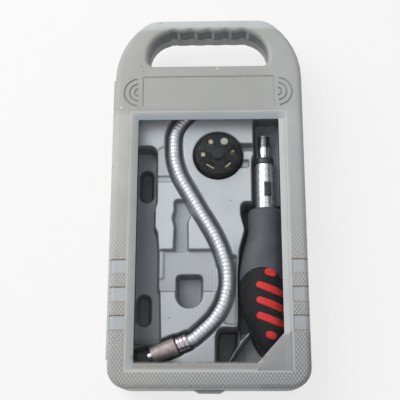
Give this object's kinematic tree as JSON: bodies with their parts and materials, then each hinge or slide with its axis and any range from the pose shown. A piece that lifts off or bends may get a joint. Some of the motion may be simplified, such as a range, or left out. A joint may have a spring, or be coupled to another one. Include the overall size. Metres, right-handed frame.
{
  "type": "ratchet driver kit with flexible shaft",
  "caption": "Carry case with a clear hinged lid, holding a thick-handled ratchet driver, a ribbed flexible extension shaft with a hexagonal socket, and a round bit holder.",
  "frame": {"origin": "under the middle of the closed case, on the plane it lies on", "axes": "+Y from the case's foot to its carrying handle, +Z out of the window, +X towards the latch side"},
  "size_m": [0.1708, 0.3336, 0.048],
  "materials": {
    "case_plastic": "fine diamond texture",
    "tray_plastic": "satin",
    "window": "clear plastic",
    "dark_plastic": "satin",
    "grip_rubber": "matte",
    "pad_rubber": "matte",
    "chrome": "polished",
    "steel": "bright",
    "black_plastic": "satin",
    "smoked_plastic": "smoked, polished",
    "holder_plastic": "satin",
    "brass": "bright"
  },
  "bodies": {
    "case": {"base_shell": "case_plastic", "tool_tray": "tray_plastic", "hinge_pin": "steel", "handle_core": "dark_plastic", "grip_sleeve": "grip_rubber", "grip_pad_1": "pad_rubber", "grip_pad_2": "pad_rubber", "grip_pad_3": "pad_rubber", "grip_pad_4": "pad_rubber", "grip_pad_5": "pad_rubber", "ratchet_barrel": "chrome", "barrel_ring": "black_plastic", "flex_casing": "chrome", "flex_core": "steel", "ferrule_output": "steel", "socket_collar": "steel", "ferrule_input": "steel", "puck_body": "holder_plastic", "puck_rivet": "black_plastic", "bit_phillips": "brass", "bit_hex_key": "brass", "bit_square": "brass", "bit_slotted_large": "brass", "bit_slotted_small": "brass"},
    "lid": {"lid_shell": "case_plastic", "window_pane": "window"},
    "latch_plate": {"latch": "case_plastic"},
    "selector_slide": {"selector": "black_plastic", "pawl_left": "steel", "pawl_right": "steel"},
    "driver_spindle": {"spindle": "steel", "ratchet_gear": "steel", "bit_holder": "chrome", "bit_magnet": "steel"},
    "shaft_output": {"output_socket": "chrome"},
    "shaft_input": {"input_shank": "steel"},
    "holder_cap": {"puck_cover": "smoked_plastic"}
  },
  "joints": [
    {"name": "lid_hinge", "type": "hinge", "parent": "case", "child": "lid", "pos_m": [-0.0832, -0.0372, 0.03], "axis": [0, -1, 0], "range_deg": [0, 180]},
    {"name": "latch_hinge", "type": "hinge", "parent": "case", "child": "latch_plate", "pos_m": [0.0839, 0.0123, 0.0112], "axis": [0, 1, 0], "range_deg": [0, 100]},
    {"name": "spindle_spin", "type": "hinge", "parent": "case", "child": "driver_spindle", "pos_m": [0.0516, 0.0383, 0.023], "axis": [0, 1, 0], "continuous": true},
    {"name": "selector_travel", "type": "slide", "parent": "case", "child": "selector_slide", "axis": [0, 1, 0], "range_m": [-0.002, 0.002]},
    {"name": "output_spin", "type": "hinge", "parent": "case", "child": "shaft_output", "pos_m": [-0.03367, -0.13106, 0.028], "axis": [-0.9272, -0.3746, 0], "continuous": true},
    {"name": "input_spin", "type": "hinge", "parent": "case", "child": "shaft_input", "pos_m": [0.033, 0.0928, 0.028], "axis": [-1, 0, 0], "continuous": true},
    {"name": "cap_turn", "type": "hinge", "parent": "case", "child": "holder_cap", "pos_m": [0.0101, 0.04, 0.0357], "axis": [0, 0, 1], "continuous": true}
  ],
  "couplings": [
    {"joint": "input_spin", "follows": "output_spin", "ratio": 1}
  ]
}
